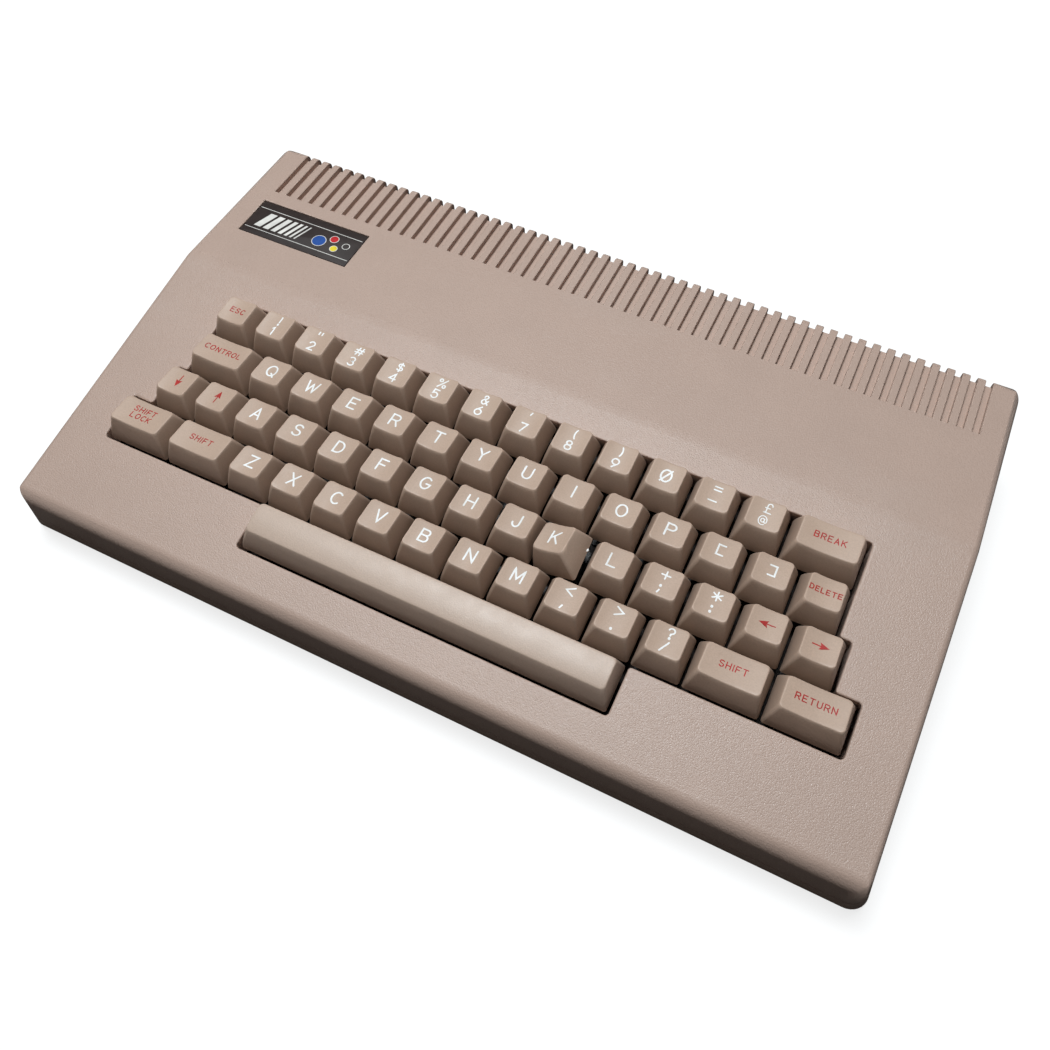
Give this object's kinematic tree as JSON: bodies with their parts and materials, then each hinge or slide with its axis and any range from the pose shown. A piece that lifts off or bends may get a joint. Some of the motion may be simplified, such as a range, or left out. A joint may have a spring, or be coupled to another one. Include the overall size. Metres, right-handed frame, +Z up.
{
  "type": "home computer",
  "caption": "Wedge-shaped home computer with a built-in full-travel keyboard, rear cooling grooves and rear sockets for leads.",
  "frame": {"origin": "middle of the footprint on the resting plane", "axes": "+X to the right along the keyboard, +Y to the rear, +Z up"},
  "size_m": [0.368, 0.206, 0.0549],
  "materials": {
    "case_plastic": "fine moulded grain",
    "badge": "satin",
    "steel_plate": "blackened",
    "board": "solder resist",
    "dark_plastic": "satin",
    "screw_steel": "zinc plated",
    "capacitor_sleeve": "shrunk sleeve",
    "bare_aluminium": "extruded",
    "tinned_steel": "tinned",
    "foot_rubber": "matte",
    "cable_vinyl": "matte",
    "wire_steel": "drawn wire",
    "space_bar_plastic": "satin",
    "key_plastic": "smooth matte"
  },
  "bodies": {
    "machine": {"top_case": "case_plastic", "bottom_case": "case_plastic", "badge_plate": "badge", "keyboard_plate": "steel_plate", "keyboard_board": "board", "key_switches": "dark_plastic", "inner_screws": "screw_steel", "main_board": "board", "board_chips": "dark_plastic", "board_capacitors": "capacitor_sleeve", "heatsink": "bare_aluminium", "voltage_regulators": "dark_plastic", "tv_modulator": "tinned_steel", "rear_sockets": "dark_plastic", "case_screws": "screw_steel", "rubber_feet": "foot_rubber", "speaker": "dark_plastic", "ribbon_cable": "cable_vinyl"},
    "key_z": {"key_z": "key_plastic"},
    "key_x": {"key_x": "key_plastic"},
    "key_c": {"key_c": "key_plastic"},
    "key_v": {"key_v": "key_plastic"},
    "key_b": {"key_b": "key_plastic"},
    "key_n": {"key_n": "key_plastic"},
    "key_m": {"key_m": "key_plastic"},
    "key_a": {"key_a": "key_plastic"},
    "key_s": {"key_s": "key_plastic"},
    "key_d": {"key_d": "key_plastic"},
    "key_f": {"key_f": "key_plastic"},
    "key_g": {"key_g": "key_plastic"},
    "key_h": {"key_h": "key_plastic"},
    "key_j": {"key_j": "key_plastic"},
    "key_k": {"key_k": "key_plastic"},
    "key_l": {"key_l": "key_plastic"},
    "key_q": {"key_q": "key_plastic"},
    "key_w": {"key_w": "key_plastic"},
    "key_e": {"key_e": "key_plastic"},
    "key_r": {"key_r": "key_plastic"},
    "key_t": {"key_t": "key_plastic"},
    "key_y": {"key_y": "key_plastic"},
    "key_u": {"key_u": "key_plastic"},
    "key_i": {"key_i": "key_plastic"},
    "key_o": {"key_o": "key_plastic"},
    "key_p": {"key_p": "key_plastic"},
    "key_space": {"key_space": "space_bar_plastic"},
    "key_shift_lock": {"key_shift_lock": "key_plastic"},
    "key_left_shift": {"key_left_shift": "key_plastic"},
    "key_right_shift": {"key_right_shift": "key_plastic"},
    "key_return": {"key_return": "key_plastic"},
    "key_down": {"key_down": "key_plastic"},
    "key_up": {"key_up": "key_plastic"},
    "key_left": {"key_left": "key_plastic"},
    "key_right": {"key_right": "key_plastic"},
    "key_control": {"key_control": "key_plastic"},
    "key_delete": {"key_delete": "key_plastic"},
    "key_esc": {"key_esc": "key_plastic"},
    "key_break": {"key_break": "key_plastic"},
    "number_row_keys": {"number_row_keys": "key_plastic"},
    "punctuation_keys": {"punctuation_keys": "key_plastic"},
    "space_bar_wire": {"space_bar_wire": "wire_steel"}
  },
  "joints": [
    {"name": "press_z", "type": "slide", "parent": "machine", "child": "key_z", "axis": [0, 0.1612, -0.9869], "range_m": [0, 0.0036], "stiffness_N_per_m": 140, "springref_m": -0.002},
    {"name": "press_x", "type": "slide", "parent": "machine", "child": "key_x", "axis": [0, 0.1612, -0.9869], "range_m": [0, 0.0036], "stiffness_N_per_m": 140, "springref_m": -0.002},
    {"name": "press_c", "type": "slide", "parent": "machine", "child": "key_c", "axis": [0, 0.1612, -0.9869], "range_m": [0, 0.0036], "stiffness_N_per_m": 140, "springref_m": -0.002},
    {"name": "press_v", "type": "slide", "parent": "machine", "child": "key_v", "axis": [0, 0.1612, -0.9869], "range_m": [0, 0.0036], "stiffness_N_per_m": 140, "springref_m": -0.002},
    {"name": "press_b", "type": "slide", "parent": "machine", "child": "key_b", "axis": [0, 0.1612, -0.9869], "range_m": [0, 0.0036], "stiffness_N_per_m": 140, "springref_m": -0.002},
    {"name": "press_n", "type": "slide", "parent": "machine", "child": "key_n", "axis": [0, 0.1612, -0.9869], "range_m": [0, 0.0036], "stiffness_N_per_m": 140, "springref_m": -0.002},
    {"name": "press_m", "type": "slide", "parent": "machine", "child": "key_m", "axis": [0, 0.1612, -0.9869], "range_m": [0, 0.0036], "stiffness_N_per_m": 140, "springref_m": -0.002},
    {"name": "press_a", "type": "slide", "parent": "machine", "child": "key_a", "axis": [0, 0.1612, -0.9869], "range_m": [0, 0.0036], "stiffness_N_per_m": 140, "springref_m": -0.002},
    {"name": "press_s", "type": "slide", "parent": "machine", "child": "key_s", "axis": [0, 0.1612, -0.9869], "range_m": [0, 0.0036], "stiffness_N_per_m": 140, "springref_m": -0.002},
    {"name": "press_d", "type": "slide", "parent": "machine", "child": "key_d", "axis": [0, 0.1612, -0.9869], "range_m": [0, 0.0036], "stiffness_N_per_m": 140, "springref_m": -0.002},
    {"name": "press_f", "type": "slide", "parent": "machine", "child": "key_f", "axis": [0, 0.1612, -0.9869], "range_m": [0, 0.0036], "stiffness_N_per_m": 140, "springref_m": -0.002},
    {"name": "press_g", "type": "slide", "parent": "machine", "child": "key_g", "axis": [0, 0.1612, -0.9869], "range_m": [0, 0.0036], "stiffness_N_per_m": 140, "springref_m": -0.002},
    {"name": "press_h", "type": "slide", "parent": "machine", "child": "key_h", "axis": [0, 0.1612, -0.9869], "range_m": [0, 0.0036], "stiffness_N_per_m": 140, "springref_m": -0.002},
    {"name": "press_j", "type": "slide", "parent": "machine", "child": "key_j", "axis": [0, 0.1612, -0.9869], "range_m": [0, 0.0036], "stiffness_N_per_m": 140, "springref_m": -0.002},
    {"name": "press_k", "type": "slide", "parent": "machine", "child": "key_k", "axis": [0, 0.1612, -0.9869], "range_m": [0, 0.0036], "stiffness_N_per_m": 140, "springref_m": -0.002},
    {"name": "press_l", "type": "slide", "parent": "machine", "child": "key_l", "axis": [0, 0.1612, -0.9869], "range_m": [0, 0.0036], "stiffness_N_per_m": 140, "springref_m": -0.002},
    {"name": "press_q", "type": "slide", "parent": "machine", "child": "key_q", "axis": [0, 0.1612, -0.9869], "range_m": [0, 0.0036], "stiffness_N_per_m": 140, "springref_m": -0.002},
    {"name": "press_w", "type": "slide", "parent": "machine", "child": "key_w", "axis": [0, 0.1612, -0.9869], "range_m": [0, 0.0036], "stiffness_N_per_m": 140, "springref_m": -0.002},
    {"name": "press_e", "type": "slide", "parent": "machine", "child": "key_e", "axis": [0, 0.1612, -0.9869], "range_m": [0, 0.0036], "stiffness_N_per_m": 140, "springref_m": -0.002},
    {"name": "press_r", "type": "slide", "parent": "machine", "child": "key_r", "axis": [0, 0.1612, -0.9869], "range_m": [0, 0.0036], "stiffness_N_per_m": 140, "springref_m": -0.002},
    {"name": "press_t", "type": "slide", "parent": "machine", "child": "key_t", "axis": [0, 0.1612, -0.9869], "range_m": [0, 0.0036], "stiffness_N_per_m": 140, "springref_m": -0.002},
    {"name": "press_y", "type": "slide", "parent": "machine", "child": "key_y", "axis": [0, 0.1612, -0.9869], "range_m": [0, 0.0036], "stiffness_N_per_m": 140, "springref_m": -0.002},
    {"name": "press_u", "type": "slide", "parent": "machine", "child": "key_u", "axis": [0, 0.1612, -0.9869], "range_m": [0, 0.0036], "stiffness_N_per_m": 140, "springref_m": -0.002},
    {"name": "press_i", "type": "slide", "parent": "machine", "child": "key_i", "axis": [0, 0.1612, -0.9869], "range_m": [0, 0.0036], "stiffness_N_per_m": 140, "springref_m": -0.002},
    {"name": "press_o", "type": "slide", "parent": "machine", "child": "key_o", "axis": [0, 0.1612, -0.9869], "range_m": [0, 0.0036], "stiffness_N_per_m": 140, "springref_m": -0.002},
    {"name": "press_p", "type": "slide", "parent": "machine", "child": "key_p", "axis": [0, 0.1612, -0.9869], "range_m": [0, 0.0036], "stiffness_N_per_m": 140, "springref_m": -0.002},
    {"name": "press_space", "type": "slide", "parent": "machine", "child": "key_space", "axis": [0, 0.1612, -0.9869], "range_m": [0, 0.0036], "stiffness_N_per_m": 220, "springref_m": -0.002},
    {"name": "press_shift_lock", "type": "slide", "parent": "machine", "child": "key_shift_lock", "axis": [0, 0.1612, -0.9869], "range_m": [0, 0.0036], "stiffness_N_per_m": 140, "springref_m": -0.002},
    {"name": "press_left_shift", "type": "slide", "parent": "machine", "child": "key_left_shift", "axis": [0, 0.1612, -0.9869], "range_m": [0, 0.0036], "stiffness_N_per_m": 140, "springref_m": -0.002},
    {"name": "press_right_shift", "type": "slide", "parent": "machine", "child": "key_right_shift", "axis": [0, 0.1612, -0.9869], "range_m": [0, 0.0036], "stiffness_N_per_m": 140, "springref_m": -0.002},
    {"name": "press_return", "type": "slide", "parent": "machine", "child": "key_return", "axis": [0, 0.1612, -0.9869], "range_m": [0, 0.0036], "stiffness_N_per_m": 140, "springref_m": -0.002},
    {"name": "press_down", "type": "slide", "parent": "machine", "child": "key_down", "axis": [0, 0.1612, -0.9869], "range_m": [0, 0.0036], "stiffness_N_per_m": 140, "springref_m": -0.002},
    {"name": "press_up", "type": "slide", "parent": "machine", "child": "key_up", "axis": [0, 0.1612, -0.9869], "range_m": [0, 0.0036], "stiffness_N_per_m": 140, "springref_m": -0.002},
    {"name": "press_left", "type": "slide", "parent": "machine", "child": "key_left", "axis": [0, 0.1612, -0.9869], "range_m": [0, 0.0036], "stiffness_N_per_m": 140, "springref_m": -0.002},
    {"name": "press_right", "type": "slide", "parent": "machine", "child": "key_right", "axis": [0, 0.1612, -0.9869], "range_m": [0, 0.0036], "stiffness_N_per_m": 140, "springref_m": -0.002},
    {"name": "press_control", "type": "slide", "parent": "machine", "child": "key_control", "axis": [0, 0.1612, -0.9869], "range_m": [0, 0.0036], "stiffness_N_per_m": 140, "springref_m": -0.002},
    {"name": "press_delete", "type": "slide", "parent": "machine", "child": "key_delete", "axis": [0, 0.1612, -0.9869], "range_m": [0, 0.0036], "stiffness_N_per_m": 140, "springref_m": -0.002},
    {"name": "press_esc", "type": "slide", "parent": "machine", "child": "key_esc", "axis": [0, 0.1612, -0.9869], "range_m": [0, 0.0036], "stiffness_N_per_m": 140, "springref_m": -0.002},
    {"name": "press_break", "type": "slide", "parent": "machine", "child": "key_break", "axis": [0, 0.1612, -0.9869], "range_m": [0, 0.0036], "stiffness_N_per_m": 140, "springref_m": -0.002},
    {"name": "press_number_row_keys", "type": "slide", "parent": "machine", "child": "number_row_keys", "axis": [0, 0.1612, -0.9869], "range_m": [0, 0.0036], "stiffness_N_per_m": 1680, "springref_m": -0.002},
    {"name": "press_punctuation_keys", "type": "slide", "parent": "machine", "child": "punctuation_keys", "axis": [0, 0.1612, -0.9869], "range_m": [0, 0.0036], "stiffness_N_per_m": 980, "springref_m": -0.002},
    {"name": "wire_turn", "type": "hinge", "parent": "machine", "child": "space_bar_wire", "pos_m": [0, -0.0818, 0.02386], "axis": [-1, 0, 0], "range_deg": [0, 17.11]}
  ],
  "couplings": [
    {"joint": "wire_turn", "follows": "press_space", "rad_per_m": 82.717}
  ]
}
